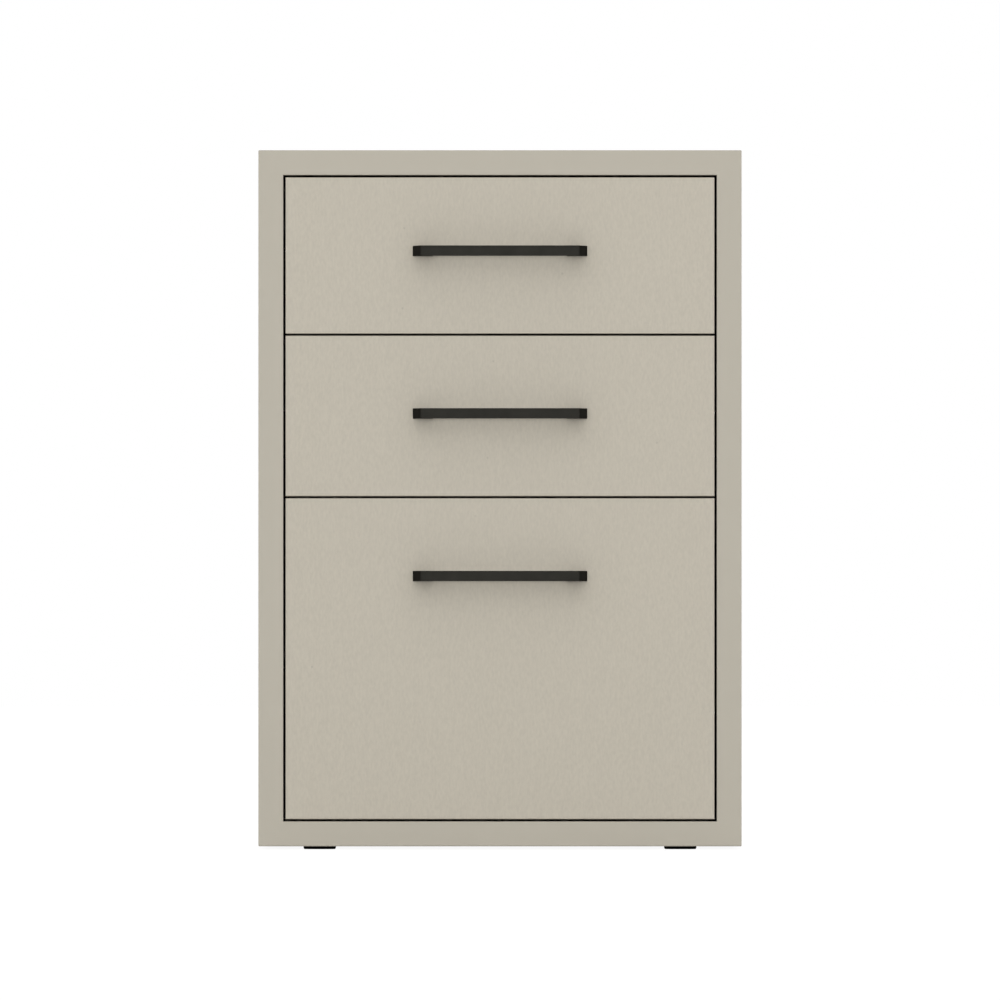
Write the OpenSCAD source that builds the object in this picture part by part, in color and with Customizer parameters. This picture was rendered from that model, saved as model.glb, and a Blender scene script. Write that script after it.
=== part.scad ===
// Three-drawer steel filing cabinet: two box drawers over one file drawer, inset in a welded casing.
// X runs to the right, Y to the back and Z up, in millimetres. The origin is on the floor,
// under the middle of the whole cabinet, handles included.

/* [Casing] */
// Width of the casing
body_w = 470; // [420:5:600]
// Depth of the casing, from the front frame to the back lips
body_d = 600; // [480:10:800]
// Height of the casing, without the glides
body_h = 677; // [620:1:760]
// Width of the front frame's face, on all four sides
frame_w = 24.2; // [18:0.1:40]
// Depth of the frame's return, behind its face
frame_return = 22; // [20:1:30]
// Width of the hem that stiffens the frame's return
hem_w = 8; // [5:1:12]
// Width of the lips that carry the base pan
base_lip = 20; // [16:1:30]
// Width of the lips that the back panel is riveted to
back_lip = 15; // [12:1:20]
// Height of the base pan's turned-up edges
pan_edge = 18; // [10:1:20]

/* [Sheet metal] */
// Thickness of the casing, the back panel and the drawers' front skins
sheet = 1.0; // [0.8:0.1:1.5]
// Thickness of the base pan
pan_t = 1.2; // [1:0.1:2]
// Thickness of the side liners
liner_t = 0.9; // [0.7:0.1:1.2]
// Thickness of the trays and of the plates behind the fronts
tray_t = 0.8; // [0.6:0.1:1.2]
// Play between sheets that slip into each other
sheet_fit = 0.4; // [0.2:0.1:0.8]
// Gap between sheets that are spot-welded
weld_gap = 0.05; // [0.05:0.05:0.2]
// Outer radius of the folds round the casing, the frame and the drawers' fronts
fold_r = 1.0; // [0.9:0.1:2]

/* [Back panel] */
// Width of the pressed stiffening beads
bead_w = 16; // [10:1:24]
// Height that the beads are pressed inwards
bead_rise = 2.5; // [1.5:0.5:4]
// Distance of each bead from the middle
bead_x = 95; // [60:5:140]
// Distance of the beads' ends from the top and from the floor
bead_end = 80; // [50:5:120]

/* [Side liners] */
// Width of the liner's turned-out edges
liner_edge = 20; // [17:1:22]
// Height of each hooking slot
slot_h = 14; // [8:1:20]
// Width of each hooking slot
slot_w = 4; // [3:1:8]
// Pitch of the slots up the liner
slot_pitch = 32; // [25:1:50]

/* [Drawer fronts] */
// Gap between the frame and the fronts
frame_gap = 2.2; // [1.5:0.1:4]
// Gap between one front and the next
drawer_gap = 2; // [1.5:0.1:4]
// Height of the middle drawer's front
box_front_h = 156.1; // [145:0.1:175]
// Height that the top drawer's front is lower than the middle one's
top_trim = 4.1; // [0:0.1:8]
// Thickness of a front
front_t = 18; // [14:1:20]
// Width of the edges turned in behind a front
front_edge = 12; // [8:1:18]
// Distance of the back plate's edges from the front's edges
plate_inset = 3; // [2:0.5:6]

/* [Handles] */
// Length of a handle over its feet
handle_l = 170; // [120:1:230]
// Length that each end of a handle slopes in from its foot to its grip
handle_splay = 8; // [2:0.5:12]
// Height of the bar
handle_h = 10; // [8:0.5:14]
// Thickness of the bar, and of its legs where they meet it
handle_t = 10; // [8:0.5:12]
// Width of a leg's foot on the front
handle_foot_w = 20; // [12:0.5:24]
// Distance that a handle stands out from its front
handle_reach = 32; // [28:1:45]
// Radius of the handle's outer bends
handle_r = 2.5; // [1:0.5:6]
// Distance from a front's untrimmed top edge down to the handle's middle
handle_drop = 75.7; // [50:0.1:90]

/* [Trays] */
// Height of a tray's floor over the bottom edge of its front
tray_lift = 14; // [8:1:20]
// Distance from a box front's trimmed top edge down to the tray's rim
box_head = 42; // [30:1:60]
// Distance from the file front's top edge down to the tray's rim
file_head = 50; // [42:1:80]
// Width of the edges turned in along a tray's sheets
rim_w = 8; // [5:1:12]
// Depth that the rim is folded down
rim_drop = 4; // [2:0.5:8]
// Diameter of the holes that give access to the handle's screws
access_d = 14; // [12:1:20]

/* [Slides] */
// Thickness of a slide, from the liner to the tray
slide_t = 12.7; // [12.5:0.1:16]
// Height of a slide
slide_h = 45.5; // [44:0.5:53]
// Thickness of the steel of the three members
member_t = 1.1; // [1:0.1:1.2]
// Thickness of the ball cages
cage_t = 0.4; // [0.3:0.1:0.5]
// Gap between the webs of the members and cages
web_gap = 0.45; // [0.35:0.05:0.6]
// Diameter of the balls
ball_d = 4.2; // [3.8:0.1:4.4]
// Gap between a ball and its raceway
race_gap = 0.15; // [0.1:0.05:0.3]
// Depth of the grooves in the middle member
groove_depth = 0.6; // [0.4:0.1:0.8]
// Number of balls in each row
balls = 8; // [4:1:9]
// Distance between balls in a row
ball_pitch = 32; // [24:1:34]
// Distance from the face of the front to the slides' front ends
slide_set = 20; // [20:0.5:22]
// Step between the standard lengths that slides are sold in
slide_step = 50; // [25:25:50]
// Thickness of the plastic caps on the slides' front ends
slide_cap_t = 1.2; // [0.8:0.1:1.5]
// Length of the rear stop in each slide
stop_l = 8; // [6:1:15]
// Gap between the closed slide and its stop
stop_gap = 0.5; // [0.3:0.1:1]
// Diameter of the mounting holes in the slides' outer and inner members
slide_hole_d = 5; // [4:0.5:6]
// Distance between those holes
slide_hole_pitch = 64; // [48:16:96]
// Length of the slots in the middle members
slide_slot_l = 30; // [16:2:40]
// Height of the slides over the floor of a box tray
box_slide_z = 46; // [34:1:60]
// Height of the slides over the floor of the file tray
file_slide_z = 110; // [60:5:160]

/* [File rails] */
// Height of the rails that folders hang on
rail_h = 14; // [8:1:20]
// Thickness of the rails
rail_t = 1.5; // [1.2:0.1:2.5]
// Distance of a rail's ends from the tray's ends
rail_end = 12; // [4:1:40]

/* [Glides] */
// Height that the glides lift the casing
foot_stand = 3; // [2:0.5:6]
// Diameter of a glide
glide_d = 31.5; // [24:0.5:40]
// Distance from the casing's side to a glide's middle
glide_in_x = 59.4; // [45:0.1:90]
// Distance from the casing's front or back to a glide's middle
glide_in_y = 45; // [40:1:90]
// Diameter of the glide's push-in stem
stem_d = 7.8; // [6:0.1:10]
// Length of the stem over the base pan
stem_l = 10; // [6:1:14]

/* [Counterweight] */
// Width of the steel plate that keeps the cabinet from tipping
weight_w = 340; // [200:10:380]
// Depth of the plate
weight_d = 100; // [60:5:140]
// Thickness of the plate
weight_t = 15; // [10:1:20]
// Distance from the plate to the back of the casing
weight_in = 70; // [70:5:120]

/* [Fixings] */
// Diameter of the rivets
rivet_d = 4; // [3:0.1:4.5]
// Diameter of a rivet's flush head
rivet_head = 7.2; // [6:0.1:8]
// Diameter of a rivet's formed tail
rivet_tail = 6.2; // [5.5:0.1:7]
// Height of a rivet's formed tail
tail_h = 1.5; // [1:0.1:2]
// Diameter of the screws in the handles and behind the fronts
screw_d = 4; // [3:0.1:5]
// Diameter of those screws' heads
screw_head = 7.5; // [7:0.1:9]
// Height of those screws' heads
screw_head_h = 2.4; // [1.8:0.1:3]
// Depth that a handle's screws reach into it
handle_bite = 8; // [5:0.5:9]
// Diameter of the nuts pressed into the plates behind the fronts
nut_d = 8; // [7:0.5:10]
// Length of those nuts
nut_l = 5; // [3:0.5:8]
// Diameter of the counterweight's screws
weight_screw_d = 8; // [6:1:10]
// Play around rivets and screws in their holes
hole_fit = 0.05; // [0.05:0.01:0.2]

/* [Hidden] */
$fn = 48;

// Levels and faces of the casing
front_y = (handle_reach - body_d) / 2;
base_z = foot_stand;
top_z = base_z + body_h;
pan_z = base_z + sheet;
skin_x = body_w / 2 - sheet;
open_x = body_w / 2 - frame_w;
open_z0 = base_z + frame_w;
open_z1 = top_z - frame_w;
panel_y = body_d - 2 * sheet;
weight_y = body_d - weight_in - weight_d;

// Drawers, from the top one down
TOP = 0;
MIDDLE = 1;
FILE = 2;
DRAWERS = ["top", "middle", "file"];
LEFT = -1;
RIGHT = 1;
SIDES = [[LEFT, "left"], [RIGHT, "right"]];

top_front_h = box_front_h - top_trim;
file_front_h = open_z1 - open_z0 - 2 * frame_gap - 2 * drawer_gap - box_front_h - top_front_h;
front_hs = [top_front_h, box_front_h, file_front_h];
file_z = open_z0 + frame_gap;
middle_z = file_z + file_front_h + drawer_gap;
top_front_z = middle_z + box_front_h + drawer_gap;
front_zs = [top_front_z, middle_z, file_z];
front_x = open_x - frame_gap;
handle_zs = [
    top_front_z + box_front_h - handle_drop,
    middle_z + box_front_h - handle_drop,
    file_z + file_front_h - handle_drop
];
handle_foot = handle_l / 2 - handle_t / 2;

// Trays
box_tray_h = top_front_h - tray_lift - box_head;
file_tray_h = file_front_h - tray_lift - file_head;
tray_hs = [box_tray_h, box_tray_h, file_tray_h];
tray_zs = [for (z = front_zs) z + tray_lift];
tray_x = open_x - slide_t;
tray_y = front_t + tray_t;

// Slides: how far they reach, and the heights of their middles
slide_l = slide_step * floor((panel_y - slide_set - stop_l) / slide_step);
slide_end = slide_set + slide_l;
moving_end = slide_end - stop_l - stop_gap;
slide_zs = [tray_zs[TOP] + box_slide_z, tray_zs[MIDDLE] + box_slide_z, tray_zs[FILE] + file_slide_z];
tray_end = moving_end - 2;

// Slide section: u runs from the liner to the tray, v up from the slide's middle
ball_r = ball_d / 2;
race_r = ball_r + race_gap;
curl_r = race_r + member_t;
outer_cage_u = member_t + web_gap;
mid_u = outer_cage_u + cage_t + web_gap;
inner_cage_u = mid_u + member_t + web_gap;
ball_u = inner_cage_u + cage_t + web_gap + curl_r * cos(45);
outer_ball_v = slide_h / 2 - curl_r;
mid_top_v = outer_ball_v - race_r + groove_depth;
mid_flange_t = member_t + 0.2 + 2 * groove_depth;
mid_low_v = mid_top_v - mid_flange_t;
inner_ball_v = mid_low_v + groove_depth - race_r;
curl_open = 25;
flange_u = ball_u + ball_r + 0.9;
cage_flange_t = 2 * cage_t;

// Ball cages lie in the middle of the closed slide, so that they stay in it when it is open
cage_l = (balls - 1) * ball_pitch + 2 * ball_d + 6;
cage_mid = (slide_set + moving_end) / 2;
cage_y0 = cage_mid - cage_l / 2;
cage_y1 = cage_mid + cage_l / 2;

// Rivets: depth of the flush head's cone, and where rivets stand
head_depth = 0.9 * sheet;
slide_rivet_ys = [slide_set + 30, (slide_set + slide_end) / 2, slide_end - 30];
back_rivet_zs = [for (f = [0.12, 0.5, 0.88]) base_z + f * body_h];
base_rivet_ys = [for (f = [0.22, 0.5, 0.78]) f * body_d];
cross_rivet_x = body_w / 4;

// Colours
PAINT = [0.725, 0.702, 0.653];
FRONT_PAINT = [0.745, 0.722, 0.667];
BLACK = [0.16, 0.155, 0.145];
ZINC = [0.72, 0.73, 0.75];
STEEL = [0.55, 0.56, 0.58];
PLASTIC = [0.08, 0.08, 0.08];

CASING_NODES = [
    "casing_shell", "base_pan", "back_panel", "side_liner_left", "side_liner_right",
    "glide_front_left", "glide_front_right", "glide_rear_left", "glide_rear_right",
    "counterweight", "counterweight_screws", "casing_rivets", "slide_stops"
];
DRAWER_PIECES = [
    "slide_outer_left", "slide_outer_right", "slide_middle_left", "slide_middle_right",
    "slide_inner_left", "slide_inner_right", "outer_ball_cages", "inner_ball_cages",
    "front_skin", "front_plate", "tray", "handle", "handle_screws", "front_screws", "slide_rivets"
];

// ---------- Helpers. Depths (y) are measured back from the face of the front frame.

module rect(x0, x1, z0, z1) {
    translate([x0, z0]) square([x1 - x0, z1 - z0]);
}

// A front-view outline extruded between two depths
module between(y0, y1) {
    translate([0, front_y + y1, 0]) rotate([90, 0, 0]) linear_extrude(y1 - y0) children();
}

// A side-view outline extruded between two x values
module across(x0, x1) {
    translate([x0, front_y, 0]) rotate([90, 0, 90]) linear_extrude(x1 - x0) children();
}

module block(x0, x1, y0, y1, z0, z1) {
    translate([x0, front_y + y0, z0]) cube([x1 - x0, y1 - y0, z1 - z0]);
}

// A top-view outline extruded between two heights
module from_above(z0, z1) {
    translate([0, front_y, z0]) linear_extrude(z1 - z0) children();
}

module swapped() {
    mirror([1, -1]) children();
}

// A rectangle with the folds' radius at its corners
module rounded(a0, a1, b0, b1) {
    rect(a0 + fold_r, a1 - fold_r, b0, b1);
    rect(a0, a1, b0 + fold_r, b1 - fold_r);
    for (a = [a0 + fold_r, a1 - fold_r]) for (b = [b0 + fold_r, b1 - fold_r]) translate([a, b]) circle(fold_r);
}

// A slot that widens to its mouth, at b = 0, round the folds' radius
module flared(a0, a1, depth) difference() {
    union() {
        rect(a0, a1, -1, depth);
        rect(a0 - fold_r, a1 + fold_r, -1, fold_r);
    }
    for (a = [a0 - fold_r, a1 + fold_r]) translate([a, fold_r]) circle(fold_r);
}

// A block whose edges round its front and its back are folds
module folded(x0, x1, z0, z1, depth) intersection() {
    from_above(z0, z1) rounded(x0, x1, 0, depth);
    across(x0, x1) swapped() rounded(z0, z1, 0, depth);
}

// Right-hand pieces are drawn as they are, left-hand ones mirrored
module on_side(side) {
    mirror([side == LEFT ? 1 : 0, 0, 0]) children();
}

module both_sides() {
    for (side = [LEFT, RIGHT]) on_side(side) children();
}

// Places a piece drawn along +Z so that it points to the back, the front, the right or up
module pointing(way, x, y, z) {
    turn = way == "back" ? [-90, 0, 0] : way == "front" ? [90, 0, 0] : way == "right" ? [0, 90, 0] : [0, 0, 0];
    translate([x, front_y + y, z]) rotate(turn) children();
}

// The opening of the frame, grown by a margin
module opening(margin = 0) {
    rect(-open_x - margin, open_x + margin, open_z0 - margin, open_z1 + margin);
}

// ---------- Rivets and screws, drawn with the head's face at z = 0 and the shank along +Z

module flush_rivet(grip) {
    cylinder(r1 = rivet_head / 2, r2 = rivet_d / 2, h = head_depth);
    cylinder(d = rivet_d, h = grip + tail_h / 2);
    translate([0, 0, grip]) cylinder(d1 = rivet_tail, d2 = rivet_tail - 1, h = tail_h);
}

module flush_rivet_hole() {
    slope = (rivet_head - rivet_d) / 2 / head_depth;
    over = 0.1;
    translate([0, 0, -over]) {
        cylinder(
            r1 = rivet_head / 2 + hole_fit + over * slope,
            r2 = rivet_d / 2 + hole_fit,
            h = head_depth + over
        );
        cylinder(d = rivet_d + 2 * hole_fit, h = 10);
    }
}

// A rivet with a low round head that stands on the sheet
module round_rivet(grip) {
    translate([0, 0, -1]) cylinder(d1 = rivet_head - 1.5, d2 = rivet_head, h = 1);
    cylinder(d = rivet_d, h = grip + tail_h / 2);
    translate([0, 0, grip]) cylinder(d1 = rivet_tail, d2 = rivet_tail - 1, h = tail_h);
}

module pan_screw(length) {
    difference() {
        translate([0, 0, -screw_head_h]) cylinder(d1 = screw_head - 1.4, d2 = screw_head, h = screw_head_h);
        translate([0, 0, -screw_head_h - 0.1]) cylinder(d = 3.2, h = 1.5, $fn = 6);
    }
    cylinder(d = screw_d, h = length);
}

module slide_rivet_places(drawer) {
    for (y = slide_rivet_ys) pointing("right", open_x - member_t, y, slide_zs[drawer]) children();
}

module side_rivet_places() {
    for (z = back_rivet_zs) pointing("front", body_w / 2 - back_lip / 2, body_d, z) children();
}

module top_rivet_places() {
    pointing("front", cross_rivet_x, body_d, top_z - back_lip / 2) children();
}

module foot_rivet_places() {
    pointing("front", cross_rivet_x, body_d - sheet, pan_z + pan_t + pan_edge / 2) children();
}

module base_rivet_places() {
    for (y = base_rivet_ys) pointing("up", body_w / 2 - base_lip / 2, y, base_z) children();
    pointing("up", cross_rivet_x, base_lip / 2 + sheet, base_z) children();
}

// ---------- Casing

module casing_outline() rounded(-body_w / 2, body_w / 2, base_z, top_z);

// The opening of the frame, whose front edges are folds
module frame_void() intersection() {
    from_above(open_z0 - 2 * fold_r, open_z1 + 2 * fold_r) flared(-open_x, open_x, frame_return + 1);
    across(-open_x - 2 * fold_r, open_x + 2 * fold_r) swapped() flared(open_z0, open_z1, frame_return + 1);
}

module casing_shell() color(PAINT) difference() {
    base_x = body_w / 2 - base_lip;
    back_x = body_w / 2 - back_lip;
    union() {
        difference() {
            intersection() {
                between(-1, body_d + 1) casing_outline();
                folded(-body_w / 2, body_w / 2, base_z, top_z, body_d);
            }
            between(sheet, body_d - sheet) rect(-skin_x, skin_x, base_z + sheet, top_z - sheet);
            block(-base_x, base_x, base_lip, body_d + 1, base_z - 1, base_z + 2 * sheet);
            block(-skin_x, skin_x, panel_y, body_d - sheet, base_z - 1, base_z + 2 * sheet);
            between(body_d - 2 * sheet, body_d + 1) rect(-back_x, back_x, base_z - 1, top_z - back_lip);
        }
        between(sheet / 2, frame_return) opening(sheet);
        between(frame_return - sheet, frame_return) opening(sheet + hem_w);
    }
    frame_void();
    both_sides() {
        side_rivet_places() flush_rivet_hole();
        top_rivet_places() flush_rivet_hole();
        base_rivet_places() flush_rivet_hole();
    }
}

module pan_outline(inset) {
    front = sheet + sheet_fit + inset;
    translate([-skin_x + sheet_fit + inset, front])
        square([2 * (skin_x - sheet_fit - inset), panel_y - front - inset]);
}

module base_pan() color(PAINT) difference() {
    translate([0, front_y, pan_z]) {
        linear_extrude(pan_t) pan_outline(0);
        linear_extrude(pan_t + pan_edge) difference() {
            pan_outline(0);
            pan_outline(pan_t);
        }
    }
    glide_places() translate([0, 0, pan_z - 1]) cylinder(d = stem_d + 2 * sheet_fit, h = pan_t + 2);
    weight_screw_places() cylinder(d = weight_screw_d + 2 * hole_fit, h = pan_t + 1);
    both_sides() {
        base_rivet_places() flush_rivet_hole();
        foot_rivet_places() flush_rivet_hole();
    }
}

module bead(width, end) {
    translate([bead_x, 0]) {
        rect(-width / 2, width / 2, base_z + end, top_z - end);
        for (z = [base_z + end, top_z - end]) translate([0, z]) circle(d = width);
    }
}

module back_panel() color(PAINT) difference() {
    union() {
        between(panel_y, panel_y + sheet)
            rect(-skin_x + sheet_fit, skin_x - sheet_fit, base_z, top_z - sheet - sheet_fit);
        between(panel_y - bead_rise, panel_y + sheet) both_sides() bead(bead_w, bead_end);
    }
    between(panel_y - bead_rise + sheet, panel_y + 2 * sheet)
        both_sides() bead(bead_w - 2 * sheet, bead_end);
    both_sides() {
        side_rivet_places() flush_rivet_hole();
        top_rivet_places() flush_rivet_hole();
        foot_rivet_places() flush_rivet_hole();
    }
}

module slot_columns() {
    rows = floor((open_z1 - open_z0 - 60) / slot_pitch);
    for (y = [slide_set + 60, (slide_set + slide_end) / 2 + 30, slide_end - 70])
        for (row = [0:rows])
            translate([y - slot_w / 2, open_z0 + 30 + row * slot_pitch - slot_h / 2]) square([slot_w, slot_h]);
}

module side_liner(side) color(ZINC) on_side(side) difference() {
    edge_x = open_x + liner_edge;
    union() {
        across(open_x, open_x + liner_t) difference() {
            translate([frame_return, open_z0]) square([panel_y - frame_return, open_z1 - open_z0]);
            slot_columns();
        }
        for (z = [open_z0, open_z1 - liner_t]) block(open_x, edge_x, frame_return, panel_y, z, z + liner_t);
        for (y = [frame_return, panel_y - liner_t]) block(open_x, edge_x, y, y + liner_t, open_z0, open_z1);
    }
    side_rivet_places() flush_rivet_hole();
    for (drawer = [TOP, MIDDLE, FILE]) slide_rivet_places(drawer) flush_rivet_hole();
}

// All the casing's rivets are alike, and differ only in the sheets that they hold
module casing_rivets() color(PAINT) both_sides() {
    side_rivet_places() flush_rivet(2 * sheet + liner_t);
    top_rivet_places() flush_rivet(2 * sheet);
    foot_rivet_places() flush_rivet(sheet + pan_t);
    base_rivet_places() flush_rivet(sheet + pan_t);
    for (drawer = [TOP, MIDDLE, FILE]) slide_rivet_places(drawer) flush_rivet(member_t + liner_t);
}

// ---------- Glides and counterweight

module glide_places(sides = [LEFT, RIGHT], ends = [0, 1]) {
    for (side = sides) for (end = ends)
        translate([
            side * (body_w / 2 - glide_in_x),
            front_y + (end == 0 ? glide_in_y : body_d - glide_in_y),
            0
        ]) children();
}

module glide(side, end) color(PLASTIC) glide_places([side], [end]) rotate_extrude() difference() {
    chamfer = 1;
    barb_z = pan_z + pan_t + 0.1;
    polygon([
        [0, 0],
        [glide_d / 2 - chamfer, 0],
        [glide_d / 2, chamfer],
        [glide_d / 2, pan_z],
        [stem_d / 2, pan_z],
        [stem_d / 2, barb_z],
        [stem_d / 2 + 0.8, barb_z],
        [stem_d / 2 - 0.9, barb_z + 4],
        [stem_d / 2 - 0.9, pan_z + pan_t + stem_l],
        [0, pan_z + pan_t + stem_l]
    ]);
    polygon([[-1, -1], [4, -1], [4, 0], [3, 1.5], [-1, 1.5]]);
}

module weight_screw_places() {
    for (x = [-weight_w / 3, weight_w / 3])
        pointing("up", x, weight_y + weight_d / 2, pan_z) children();
}

module counterweight() color(STEEL) difference() {
    block(-weight_w / 2, weight_w / 2, weight_y, weight_y + weight_d, pan_z + pan_t, pan_z + pan_t + weight_t);
    weight_screw_places() cylinder(d = weight_screw_d + 2 * hole_fit, h = pan_t + 0.8 * weight_t);
}

module counterweight_screws() color(STEEL) weight_screw_places() {
    cylinder(d = weight_screw_d, h = pan_t + 0.7 * weight_t);
    translate([0, 0, -2]) difference() {
        cylinder(d1 = 1.5 * weight_screw_d, d2 = 1.7 * weight_screw_d, h = 2);
        translate([0, 0, -0.5]) cylinder(d = 0.6 * weight_screw_d, h = 1.7, $fn = 6);
    }
}

// ---------- Telescopic slides, drawn for the right side: the wall of the liner is at u = 0

// Puts a (u, v) section between two depths, at one drawer's height
module slide_stretch(drawer, y0, y1) {
    between(y0, y1) translate([open_x, slide_zs[drawer]]) mirror([1, 0]) children();
}

module up_and_down() {
    for (flip = [0, 1]) mirror([0, flip]) children();
}

// Part of a ring round a ball's row, between two angles less than 180 degrees apart
module curl(v, from, to) {
    reach = 3 * curl_r;
    translate([ball_u, v]) intersection() {
        difference() {
            circle(curl_r);
            circle(race_r);
        }
        polygon([
            [0, 0],
            reach * [cos(from), sin(from)],
            reach * [cos((from + to) / 2), sin((from + to) / 2)],
            reach * [cos(to), sin(to)]
        ]);
    }
}

// Web against the liner, and edges that curl over the outer balls
module outer_section() {
    shoulder_v = outer_ball_v + race_r * sin(curl_open);
    rect(0, member_t, -shoulder_v, shoulder_v);
    up_and_down() {
        curl(outer_ball_v, curl_open, 180 - curl_open);
        rect(0, ball_u - race_r * cos(curl_open), shoulder_v, shoulder_v + member_t);
    }
}

// Channel whose flanges have a groove for the outer balls and one for the inner balls
module middle_section() difference() {
    rect(mid_u, flange_u, -mid_top_v, mid_top_v);
    rect(mid_u + member_t, flange_u + 1, -mid_low_v, mid_low_v);
    up_and_down() {
        translate([ball_u, outer_ball_v]) circle(race_r);
        translate([ball_u, inner_ball_v]) circle(race_r);
    }
}

// Web against the tray, and edges that cup the inner balls
module inner_section() {
    shoulder_v = inner_ball_v - race_r * sin(curl_open);
    rect(slide_t - member_t, slide_t, -shoulder_v, shoulder_v);
    up_and_down() {
        curl(inner_ball_v, 225, 360 - curl_open);
        rect(ball_u + race_r * cos(curl_open), slide_t, shoulder_v - member_t, shoulder_v);
    }
}

module cage_section(u, ball_v) {
    rect(u, u + cage_t, -ball_v, ball_v);
    up_and_down() rect(u, flange_u, ball_v - cage_flange_t / 2, ball_v + cage_flange_t / 2);
}

module ball_places(drawer, ball_v) {
    for (v = [-ball_v, ball_v]) for (i = [0:balls - 1])
        translate([
            open_x - ball_u,
            front_y + cage_mid + (i - (balls - 1) / 2) * ball_pitch,
            slide_zs[drawer] + v
        ]) children();
}

// Places along a slide's web, clear of its rivets
module web_places(drawer) {
    for (y = [slide_set + 0.9 * slide_hole_pitch : slide_hole_pitch : moving_end - 0.4 * slide_hole_pitch])
        pointing("right", open_x - slide_t, y, slide_zs[drawer]) children();
}

module web_holes(drawer) {
    web_places(drawer) translate([0, 0, -1]) cylinder(d = slide_hole_d, h = slide_t + 2);
}

module web_slots(drawer) {
    web_places(drawer) translate([0, 0, -1]) {
        for (end = [-0.5, 0.5]) translate([0, end * slide_slot_l, 0]) cylinder(d = slide_hole_d, h = slide_t + 2);
        translate([-slide_hole_d / 2, -slide_slot_l / 2, 0]) cube([slide_hole_d, slide_slot_l, slide_t + 2]);
    }
}

module slide_outer(drawer, side) color(ZINC) on_side(side) difference() {
    slide_stretch(drawer, slide_set, slide_end) outer_section();
    slide_rivet_places(drawer) flush_rivet_hole();
    web_holes(drawer);
}

module slide_middle(drawer, side) color(ZINC) on_side(side) difference() {
    slide_stretch(drawer, slide_set, moving_end) middle_section();
    web_slots(drawer);
}

module slide_inner(drawer, side) color(ZINC) on_side(side) difference() {
    slide_stretch(drawer, slide_set, moving_end) inner_section();
    inner_rivet_places(drawer) cylinder(d = rivet_d + 2 * hole_fit, h = 10, center = true);
    web_holes(drawer);
}

// A cage on each side, with its balls in it
module ball_cages(drawer, u, ball_v) color(STEEL) both_sides() {
    difference() {
        slide_stretch(drawer, cage_y0, cage_y1) cage_section(u, ball_v);
        ball_places(drawer, ball_v) cylinder(r = ball_r + race_gap, h = 3 * cage_flange_t, center = true);
    }
    ball_places(drawer, ball_v) sphere(d = ball_d);
}

// On each outer member: a cap over the front end of its web, and the stop that closes its rear end
module slide_stops() color(PLASTIC) both_sides() for (drawer = [TOP, MIDDLE, FILE]) {
    slide_stretch(drawer, slide_set - slide_cap_t, slide_set)
        rect(0, mid_u - web_gap, -slide_h / 2, slide_h / 2);
    slide_stretch(drawer, slide_end - stop_l, slide_end)
        rect(member_t, flange_u, -mid_low_v, mid_low_v);
}

// ---------- Drawers

module front_outline(drawer, inset = 0) {
    z = front_zs[drawer];
    rect(-front_x + inset, front_x - inset, z + inset, z + front_hs[drawer] - inset);
}

module handle_screw_places(drawer) {
    for (x = [-handle_foot, handle_foot]) pointing("front", x, sheet, handle_zs[drawer]) children();
}

module front_screw_places(drawer) {
    x = tray_x - 25;
    for (side = [LEFT, RIGHT]) for (z = [15, tray_hs[drawer] - 15])
        pointing("front", side * x, tray_y + tray_t, tray_zs[drawer] + z) children();
}

module inner_rivet_places(drawer) {
    for (y = slide_rivet_ys) pointing("right", tray_x + member_t, y - 6, slide_zs[drawer]) rotate([180, 0, 0]) children();
}

// The hollow front: its face, four edges and the strips turned in behind
module front_skin(drawer) color(FRONT_PAINT) difference() {
    z = front_zs[drawer];
    folded(-front_x, front_x, z, z + front_hs[drawer], front_t);
    between(sheet, front_t - sheet) front_outline(drawer, sheet);
    between(front_t - 2 * sheet, front_t + 1) front_outline(drawer, front_edge);
    handle_screw_places(drawer) translate([0, 0, -1]) cylinder(d = screw_d + 2 * hole_fit, h = sheet + 2);
}

module front_plate(drawer) color(FRONT_PAINT) difference() {
    union() {
        between(front_t, tray_y) front_outline(drawer, plate_inset);
        front_screw_places(drawer) translate([0, 0, 2 * tray_t]) cylinder(d = nut_d, h = nut_l);
    }
    handle_screw_places(drawer) translate([0, 0, -2 * front_t]) cylinder(d = access_d, h = 2 * front_t);
    front_screw_places(drawer) cylinder(d = screw_d + 2 * hole_fit, h = 2 * tray_t + nut_l + 1);
}

// Five sheets, spot-welded: two sides with all their edges turned in, and the floor, front and back between them
module tray(drawer) color(ZINC) difference() {
    z0 = tray_zs[drawer];
    z1 = z0 + tray_hs[drawer];
    low = z0 - weld_gap - tray_t;
    side_y0 = tray_y + tray_t + weld_gap;
    side_y1 = tray_end - tray_t - weld_gap;
    inner_x = tray_x - rim_w - weld_gap;
    union() {
        both_sides() {
            between(side_y0, side_y1) {
                rect(tray_x - tray_t, tray_x, low, z1);
                for (z = [low, z1 - tray_t]) rect(tray_x - rim_w, tray_x, z, z + tray_t);
                rect(tray_x - rim_w, tray_x - rim_w + tray_t, z1 - rim_drop, z1);
            }
            for (y = [side_y0, side_y1 - tray_t]) between(y, y + tray_t) rect(tray_x - rim_w, tray_x, low, z1);
        }
        between(side_y0 + tray_t + weld_gap, side_y1 - tray_t - weld_gap)
            rect(-tray_x + tray_t + weld_gap, tray_x - tray_t - weld_gap, z0, z0 + tray_t);
        for (y = [tray_y, tray_end - tray_t]) between(y, y + tray_t) rect(-tray_x, tray_x, low, z1);
        for (z = [low, z1 - tray_t]) block(-inner_x, inner_x, tray_end - rim_w, tray_end, z, z + tray_t);
    }
    handle_screw_places(drawer) translate([0, 0, -2 * front_t]) cylinder(d = access_d, h = 2 * front_t);
    front_screw_places(drawer) cylinder(d = screw_d + 2 * hole_fit, h = 3 * tray_t, center = true);
    both_sides() inner_rivet_places(drawer) cylinder(d = rivet_d + 2 * hole_fit, h = 10, center = true);
}

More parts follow.
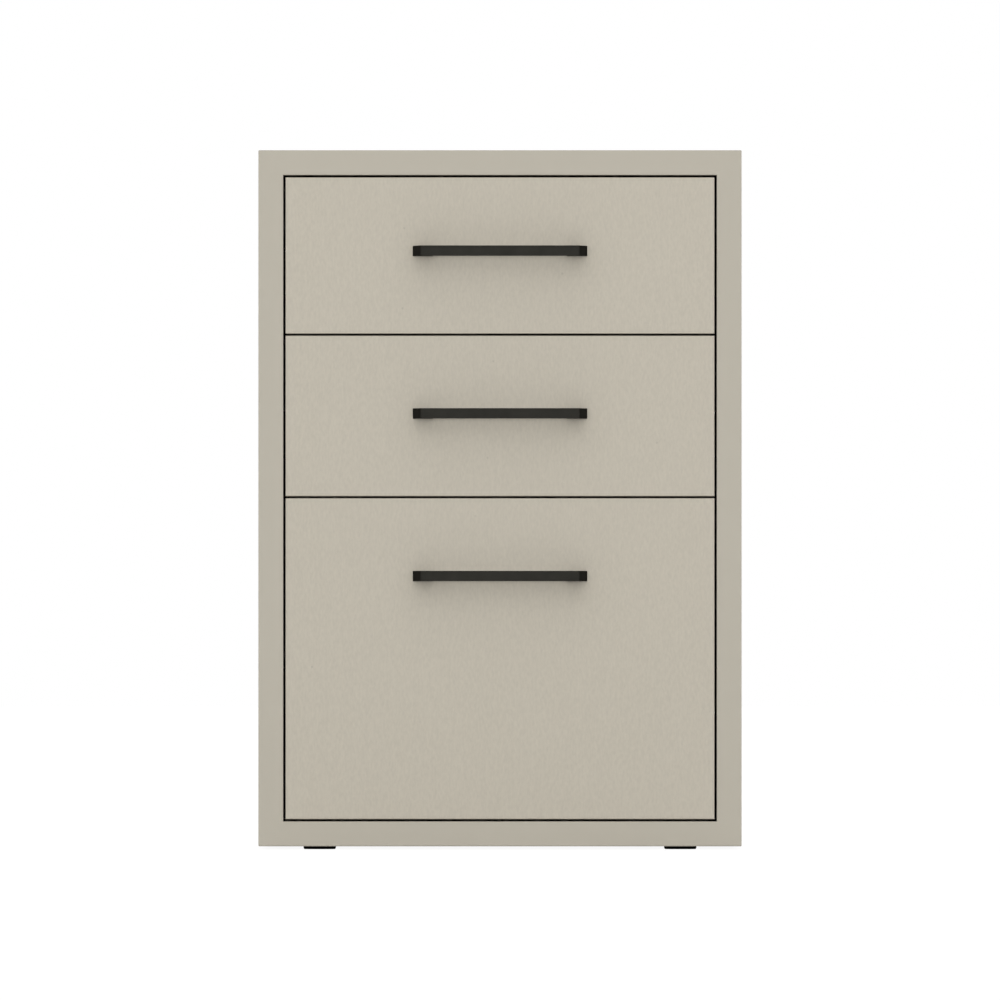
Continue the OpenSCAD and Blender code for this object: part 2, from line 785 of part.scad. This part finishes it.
// Points along an arc of an outline
function arc(centre, r, from, to, steps = 6) =
    [for (i = [0:steps]) let (a = from + (to - from) * i / steps) centre + r * [cos(a), sin(a)]];

// One solid bar, seen from above: legs that widen to their feet and a straight grip,
// x across and y forwards from the front
module handle_outline() {
    slope = atan2(handle_splay, handle_reach);
    out = handle_l / 2;
    foot_in = out - handle_foot_w;
    inner_y = handle_reach - handle_t;
    inner_r = handle_r / 2;
    top_in = out - handle_t / cos(slope) - inner_y * tan(slope);
    inner_slope = -atan2(top_in - foot_in, inner_y);
    grip = out - handle_splay;
    out_c = [grip - handle_r * tan((90 - slope) / 2), handle_reach - handle_r];
    in_y = inner_y - inner_r;
    in_c = [foot_in - in_y * tan(inner_slope) - inner_r / cos(inner_slope), in_y];
    right = concat([[foot_in, 0], [out, 0]], arc(out_c, handle_r, slope, 90));
    inside = arc(in_c, inner_r, 90, inner_slope);
    polygon(concat(
        right,
        [for (i = [len(right) - 1:-1:0]) [-right[i].x, right[i].y]],
        [for (i = [len(inside) - 1:-1:0]) [-inside[i].x, inside[i].y]],
        inside
    ));
}

module handle(drawer) color(BLACK) difference() {
    translate([0, front_y, handle_zs[drawer] - handle_h / 2])
        linear_extrude(handle_h) mirror([0, 1]) handle_outline();
    handle_screw_places(drawer) cylinder(d = screw_d + 2 * hole_fit, h = sheet + handle_bite + 0.5);
}

module handle_screws(drawer) color(STEEL) handle_screw_places(drawer) pan_screw(sheet + handle_bite);

module front_screws(drawer) color(STEEL) front_screw_places(drawer) pan_screw(2 * tray_t + nut_l);

module slide_rivets(drawer) color(ZINC) both_sides() inner_rivet_places(drawer) round_rivet(member_t + tray_t);

// Rail that hanging folders hook over, seated on the tray's rim
module file_rail(side) color(ZINC) on_side(side) {
    rim_z = tray_zs[FILE] + tray_hs[FILE];
    between(tray_y + rail_end, tray_end - rail_end) {
        rect(tray_x - rim_w, tray_x, rim_z, rim_z + rail_t);
        rect(tray_x - rim_w, tray_x - rim_w + rail_t, rim_z, rim_z + rail_h);
    }
}

casing_shell();
base_pan();
back_panel();
counterweight();
counterweight_screws();
casing_rivets();
slide_stops();
for (s = SIDES) {
    side_liner(s[0]);
    glide(s[0], 0);
    glide(s[0], 1);
    file_rail(s[0]);
}
for (d = [TOP, MIDDLE, FILE]) {
    name = DRAWERS[d];
    for (s = SIDES) {
        slide_outer(d, s[0]);
        slide_middle(d, s[0]);
        slide_inner(d, s[0]);
    }
    ball_cages(d, outer_cage_u, outer_ball_v);
    ball_cages(d, inner_cage_u, inner_ball_v);
    front_skin(d);
    front_plate(d);
    tray(d);
    handle(d);
    handle_screws(d);
    front_screws(d);
    slide_rivets(d);
}
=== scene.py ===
"""Looks of a three-drawer steel filing cabinet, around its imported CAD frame.

Lengths are in metres, unless a name or a comment says otherwise.
"""

import math
import bpy
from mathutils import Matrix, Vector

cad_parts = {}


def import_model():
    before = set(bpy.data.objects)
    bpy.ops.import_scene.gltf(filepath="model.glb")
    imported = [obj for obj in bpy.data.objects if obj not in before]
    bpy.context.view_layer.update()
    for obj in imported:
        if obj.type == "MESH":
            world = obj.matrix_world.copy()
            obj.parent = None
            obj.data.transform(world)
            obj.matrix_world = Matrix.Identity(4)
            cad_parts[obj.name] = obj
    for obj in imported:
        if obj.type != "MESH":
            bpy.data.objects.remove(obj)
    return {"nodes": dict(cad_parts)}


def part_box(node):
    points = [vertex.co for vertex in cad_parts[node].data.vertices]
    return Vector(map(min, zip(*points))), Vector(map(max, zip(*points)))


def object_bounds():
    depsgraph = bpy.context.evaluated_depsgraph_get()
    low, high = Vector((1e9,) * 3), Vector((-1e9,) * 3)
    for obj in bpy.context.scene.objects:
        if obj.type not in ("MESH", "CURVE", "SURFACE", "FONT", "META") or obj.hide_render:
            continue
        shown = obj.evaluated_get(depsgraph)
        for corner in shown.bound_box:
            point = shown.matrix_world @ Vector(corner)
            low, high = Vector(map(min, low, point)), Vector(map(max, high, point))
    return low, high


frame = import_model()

cad_box = [list(corner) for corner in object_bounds()]

DRAWERS = ("top", "middle", "file")
MM = 0.001
WHITE = (1.0, 1.0, 1.0, 1.0)

# Colours, as 8-bit display values
CASING = (187, 181, 167)
FRONT = (192, 185, 170)
HANDLE = (53, 52, 48)
PLASTIC = (12, 12, 12)
GALVANISED = (176, 179, 181)
ZINC = (190, 193, 196)
STEEL = (206, 205, 202)


def linear(red, green, blue):
    """A linear RGBA colour from 8-bit display values."""
    def one(value):
        value /= 255
        return value / 12.92 if value <= 0.04045 else ((value + 0.055) / 1.055) ** 2.4
    return (one(red), one(green), one(blue), 1.0)


def fresh_tree(owner):
    """The emptied node tree of a material or world."""
    owner.use_nodes = True
    owner.node_tree.nodes.clear()
    return owner.node_tree


# ---------------------------------------------------------------- materials

NOISE_LOW = 0.3         # nearly all values of a noise lie between these two
NOISE_HIGH = 0.7


class Shader:
    """A node material under construction. Calls add nodes and return their output sockets."""

    def __init__(self, name):
        self.material = bpy.data.materials.new(name)
        self.tree = fresh_tree(self.material)
        output = self.tree.nodes.new("ShaderNodeOutputMaterial")
        self.surface = self.tree.nodes.new("ShaderNodeBsdfPrincipled")
        self.tree.links.new(self.surface.outputs["BSDF"], output.inputs["Surface"])

    def put(self, node, inputs):
        """Links sockets and sets plain values, by input name or number."""
        for key, value in inputs.items():
            if isinstance(value, bpy.types.NodeSocket):
                self.tree.links.new(value, node.inputs[key])
            else:
                node.inputs[key].default_value = value

    def place(self, scale=(1, 1, 1), turn=(0, 0, 0)):
        """Positions on the object, times scale, then turned by angles in degrees."""
        where = self.tree.nodes.new("ShaderNodeTexCoord").outputs["Object"]
        node = self.tree.nodes.new("ShaderNodeMapping")
        angles = [math.radians(angle) for angle in turn]
        self.put(node, {"Vector": where, "Scale": scale, "Rotation": angles})
        return node.outputs["Vector"]

    def noise(self, where, scale, detail=2.0, roughness=0.5):
        """Soft noise between 0 and 1. Scale is in features per metre of where."""
        node = self.tree.nodes.new("ShaderNodeTexNoise")
        self.put(node, {"Vector": where, "Scale": scale, "Detail": detail, "Roughness": roughness})
        return node.outputs["Fac"]

    def cells(self, where, scale, dimensions="3D"):
        """Distance to the cell's point, and a random colour per cell."""
        node = self.tree.nodes.new("ShaderNodeTexVoronoi")
        node.voronoi_dimensions = dimensions
        self.put(node, {"Vector": where, "Scale": scale})
        return node.outputs["Distance"], node.outputs["Color"]

    def span(self, value, low, high, to_low, to_high):
        """Maps low..high to to_low..to_high, and clamps what lies outside."""
        node = self.tree.nodes.new("ShaderNodeMapRange")
        self.put(node, {"Value": value, "From Min": low, "From Max": high,
                        "To Min": to_low, "To Max": to_high})
        return node.outputs["Result"]

    def vary(self, noise, low, high):
        """Spreads a noise over low..high."""
        return self.span(noise, NOISE_LOW, NOISE_HIGH, low, high)

    def maths(self, operation, a, b):
        node = self.tree.nodes.new("ShaderNodeMath")
        node.operation = operation
        self.put(node, {0: a, 1: b})
        return node.outputs["Value"]

    def split(self, colour):
        """The colour's channels, by name."""
        node = self.tree.nodes.new("ShaderNodeSeparateColor")
        self.put(node, {"Color": colour})
        return node.outputs

    def facing(self, axis):
        """How squarely the surface faces along an axis of the object, either way: 0 to 1."""
        normal = self.tree.nodes.new("ShaderNodeTexCoord").outputs["Normal"]
        node = self.tree.nodes.new("ShaderNodeSeparateXYZ")
        self.put(node, {"Vector": normal})
        return self.maths("ABSOLUTE", node.outputs[axis], 0)

    def tint(self, display_colour, factor):
        """The colour, scaled by a factor that varies over the surface."""
        node = self.tree.nodes.new("ShaderNodeVectorMath")
        node.operation = "SCALE"
        self.put(node, {0: linear(*display_colour)[:3], "Scale": factor})
        return node.outputs["Vector"]

    def bump(self, height, distance):
        node = self.tree.nodes.new("ShaderNodeBump")
        self.put(node, {"Height": height, "Distance": distance, "Strength": 1.0})
        return node.outputs["Normal"]

    def finish(self, **inputs):
        """Sets the surface's inputs, named with _ for a space, and returns the material."""
        self.put(self.surface, {key.replace("_", " "): value for key, value in inputs.items()})
        return self.material


def casing_paint():
    """Powder coat: smooth and matt, with a faint orange peel and slow shifts of tone."""
    s = Shader("powder_coat")
    where = s.place()
    peel = s.noise(where, 700)
    shifts = s.vary(s.noise(where, 6), -0.008, 0.008)
    tone = s.maths("ADD", shifts, s.vary(peel, 0.997, 1.003))
    return s.finish(
        Base_Color=s.tint(CASING, tone),
        Roughness=s.vary(s.noise(where, 90, 3.0), 0.64, 0.7),
        Normal=s.bump(peel, 0.02 * MM),
    )


def front_paint():
    """Paint over a finely grained face: short upright fibres, and a few tiny dark specks."""
    s = Shader("grained_paint")
    fibres = s.noise(s.place((520, 520, 200)), 1.0, 2.0, 0.6)
    streaks = s.noise(s.place((900, 900, 14)), 1.0, 3.0, 0.6)
    grain = s.maths("ADD", s.span(fibres, 0.25, 0.75, -0.054, 0.054),
                    s.span(streaks, 0.25, 0.75, -0.012, 0.012))
    # Cells of 1/12 m on the face's plane: those of high random red hold a speck at their point
    near, random = s.cells(s.place(turn=(90, 0, 0)), 12, "2D")
    chosen = s.span(s.split(random)["Red"], 0.7, 0.72, 0.0, 1.0)
    speck = s.maths("MULTIPLY", s.span(near, 0.005, 0.018, 0.16, 0.0), chosen)
    tone = s.maths("SUBTRACT", s.maths("ADD", grain, 1.0), speck)
    return s.finish(
        Base_Color=s.tint(FRONT, tone),
        Roughness=s.vary(streaks, 0.58, 0.66),
        Normal=s.bump(s.maths("ADD", streaks, fibres), 0.012 * MM),
    )


def handle_black():
    """Satin black coat on the bars, with painted shade on the legs' sloping end faces."""
    s = Shader("satin_black")
    where = s.place()
    grit = s.noise(where, 1500)
    # Painted shade: the colour is darkened to 0.65 of the coat wherever the surface faces
    # sideways, as on the legs' sloping end faces.
    painted_end_shade = s.span(s.facing("X"), 0.85, 0.95, 1.0, 0.65)
    tone = s.maths("MULTIPLY", s.vary(s.noise(where, 60, 3.0), 0.9, 1.1), painted_end_shade)
    return s.finish(
        Base_Color=s.tint(HANDLE, tone),
        Roughness=s.vary(grit, 0.42, 0.52),
        Specular_IOR_Level=0.0,
        Normal=s.bump(grit, 0.015 * MM),
    )


def galvanised():
    """Hot-dip zinc with soft spangles, each with its own tone and dullness."""
    s = Shader("galvanised_sheet")
    _, spangle = s.cells(s.place(), 120)
    random = s.split(spangle)
    return s.finish(
        Base_Color=s.tint(GALVANISED, s.span(random["Red"], 0, 1, 0.9, 1.06)),
        Metallic=0.5,
        Roughness=s.span(random["Green"], 0, 1, 0.5, 0.62),
        Normal=s.bump(s.noise(s.place(), 400), 0.01 * MM),
    )


def zinc():
    """Zinc plating on roll-formed steel, with fine lines along the slides."""
    s = Shader("zinc_plate")
    lines = s.noise(s.place((1500, 12, 1500)), 1.0)
    return s.finish(
        Base_Color=s.tint(ZINC, s.vary(s.noise(s.place(), 40, 3.0), 0.93, 1.05)),
        Metallic=0.9,
        Roughness=s.vary(lines, 0.27, 0.4),
        Normal=s.bump(lines, 0.008 * MM),
    )


def bright_steel():
    """Polished balls, cages and screws."""
    s = Shader("polished_steel")
    marks = s.noise(s.place(), 900, 3.0)
    return s.finish(
        Base_Color=s.tint(STEEL, s.vary(marks, 0.94, 1.04)),
        Metallic=1.0,
        Roughness=s.vary(marks, 0.16, 0.28),
    )


def black_plastic():
    """Moulded plastic with a fine spark-eroded texture."""
    s = Shader("moulded_plastic")
    grit = s.noise(s.place(), 1800)
    return s.finish(
        Base_Color=s.tint(PLASTIC, s.vary(grit, 0.9, 1.12)),
        Roughness=s.vary(grit, 0.5, 0.62),
        Specular_IOR_Level=0.0,
        Normal=s.bump(grit, 0.02 * MM),
    )


# By the record's material slots
finishes = {
    "casing_paint": casing_paint(),
    "front_paint": front_paint(),
    "handle_black": handle_black(),
    "galvanised": galvanised(),
    "zinc": zinc(),
    "bright_steel": bright_steel(),
    "black_plastic": black_plastic(),
}
for node in frame["nodes"].values():
    for place in node.material_slots:
        place.material = finishes[place.material.name]


# ---------------------------------------------------------------- softened edges

HANDLE_ROUND = 0.3 * MM
SAME_POINT = 1e-6       # corners closer than this are one
SHARP = 50              # degrees at an edge that is rounded


def soften(name, width):
    """Rounds a solid bar's sharp edges."""
    node = frame["nodes"][name]
    weld = node.modifiers.new("weld", "WELD")
    weld.merge_threshold = SAME_POINT
    bevel = node.modifiers.new("round", "BEVEL")
    bevel.width = width
    bevel.segments = 2
    bevel.limit_method = "ANGLE"
    bevel.angle_limit = math.radians(SHARP)
    bevel.use_clamp_overlap = False


for drawer in DRAWERS:
    soften(drawer + "_handle", HANDLE_ROUND)


# ---------------------------------------------------------------- floor, world and lights

FLOOR_SIZE = 120
FLOOR_GLOW = 0.92       # what stays of the floor's white in the deepest shadow
FLOOR_SHADE = 0.14      # what the lamps add to it in the open
GROUND = 0.6            # how pale the floor is to rays that light the object


def seen_by_eye(tree):
    """1 for rays that show the background: from the camera, mirrored or through glass."""
    path = tree.nodes.new("ShaderNodeLightPath")
    total = path.outputs["Is Camera Ray"]
    for kind in ("Is Glossy Ray", "Is Transmission Ray"):
        pick = tree.nodes.new("ShaderNodeMath")
        pick.operation = "MAXIMUM"
        tree.links.new(total, pick.inputs[0])
        tree.links.new(path.outputs[kind], pick.inputs[1])
        total = pick.outputs[0]
    return total


def diffuse(tree, grey):
    node = tree.nodes.new("ShaderNodeBsdfDiffuse")
    node.inputs["Color"].default_value = (grey, grey, grey, 1)
    return node.outputs[0]


def floor():
    """White to the eye, with a faint shadow under the object; plain ground to other rays."""
    bpy.ops.mesh.primitive_plane_add(size=FLOOR_SIZE)
    plane = bpy.context.object
    plane.name = "floor"
    material = bpy.data.materials.new("floor_white")
    tree = fresh_tree(material)
    ground = diffuse(tree, GROUND)
    shaded = diffuse(tree, FLOOR_SHADE)
    glow = tree.nodes.new("ShaderNodeEmission")
    glow.inputs["Color"].default_value = WHITE
    glow.inputs["Strength"].default_value = FLOOR_GLOW
    shown = tree.nodes.new("ShaderNodeAddShader")
    tree.links.new(shaded, shown.inputs[0])
    tree.links.new(glow.outputs[0], shown.inputs[1])
    either = tree.nodes.new("ShaderNodeMixShader")
    tree.links.new(seen_by_eye(tree), either.inputs["Fac"])
    tree.links.new(ground, either.inputs[1])
    tree.links.new(shown.outputs[0], either.inputs[2])
    output = tree.nodes.new("ShaderNodeOutputMaterial")
    tree.links.new(either.outputs[0], output.inputs["Surface"])
    plane.data.materials.append(material)


def world():
    """White to the eye. It lights nothing: that is left to the lamps."""
    studio = bpy.data.worlds.new("studio")
    tree = fresh_tree(studio)
    shown = tree.nodes.new("ShaderNodeBackground")
    shown.inputs["Color"].default_value = WHITE
    tree.links.new(seen_by_eye(tree), shown.inputs["Strength"])
    output = tree.nodes.new("ShaderNodeOutputWorld")
    tree.links.new(shown.outputs[0], output.inputs["Surface"])
    bpy.context.scene.world = studio


def sun(name, strength, azimuth, elevation, spread):
    """A soft lamp. Azimuth 0 shines from the front, 90 from the right; angles in degrees."""
    lamp = bpy.data.lights.new(name, "SUN")
    lamp.energy = strength
    lamp.angle = math.radians(spread)
    holder = bpy.data.objects.new(name, lamp)
    holder.rotation_euler = (math.radians(90 - elevation), 0, math.radians(azimuth))
    bpy.context.scene.collection.objects.link(holder)


floor()
world()
sun("front_narrow", 1.01, azimuth=0, elevation=0, spread=10)
sun("front_wide", 0.24, azimuth=0, elevation=0, spread=25)
sun("front_low", 0.70, azimuth=0, elevation=15, spread=50)
sun("front_high", 0.16, azimuth=0, elevation=45, spread=50)
for side in (-1, 1):
    sun("corner_low", 0.40, azimuth=side * 45, elevation=10, spread=50)
    sun("corner_high", 0.38, azimuth=side * 45, elevation=55, spread=50)
    sun("side", 1.16, azimuth=side * 118, elevation=20, spread=25)
    sun("back", 0.87, azimuth=side * 150, elevation=25, spread=60)


# ---------------------------------------------------------------- camera

FOCAL = 1000.0          # millimetres: with this sensor, nearly parallel rays
SENSOR = 36.0           # millimetres
IMAGE = 1000            # pixels
SCALE = 1028.2          # pixels per metre on the face of the casing
EYE_HEIGHT = 0.2        # over the floor
AIM_DROP = 0.2 * MM     # under the middle of the cabinet's height
FAR = 200               # past the floor's far edge

skin_low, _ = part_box("casing_shell")
distance = FOCAL / SENSOR * IMAGE / SCALE
aim_height = (cad_box[0][2] + cad_box[1][2]) / 2 - AIM_DROP
camera = bpy.data.cameras.new("camera")
camera.lens = FOCAL
camera.sensor_width = SENSOR
camera.clip_end = FAR
eye = bpy.data.objects.new("camera", camera)
eye.location = (0, skin_low.y - distance, EYE_HEIGHT)
eye.rotation_euler = (math.radians(90) + math.atan2(aim_height - EYE_HEIGHT, distance), 0, 0)
bpy.context.scene.collection.objects.link(eye)
bpy.context.scene.camera = eye
bpy.context.scene.view_settings.view_transform = "Standard"
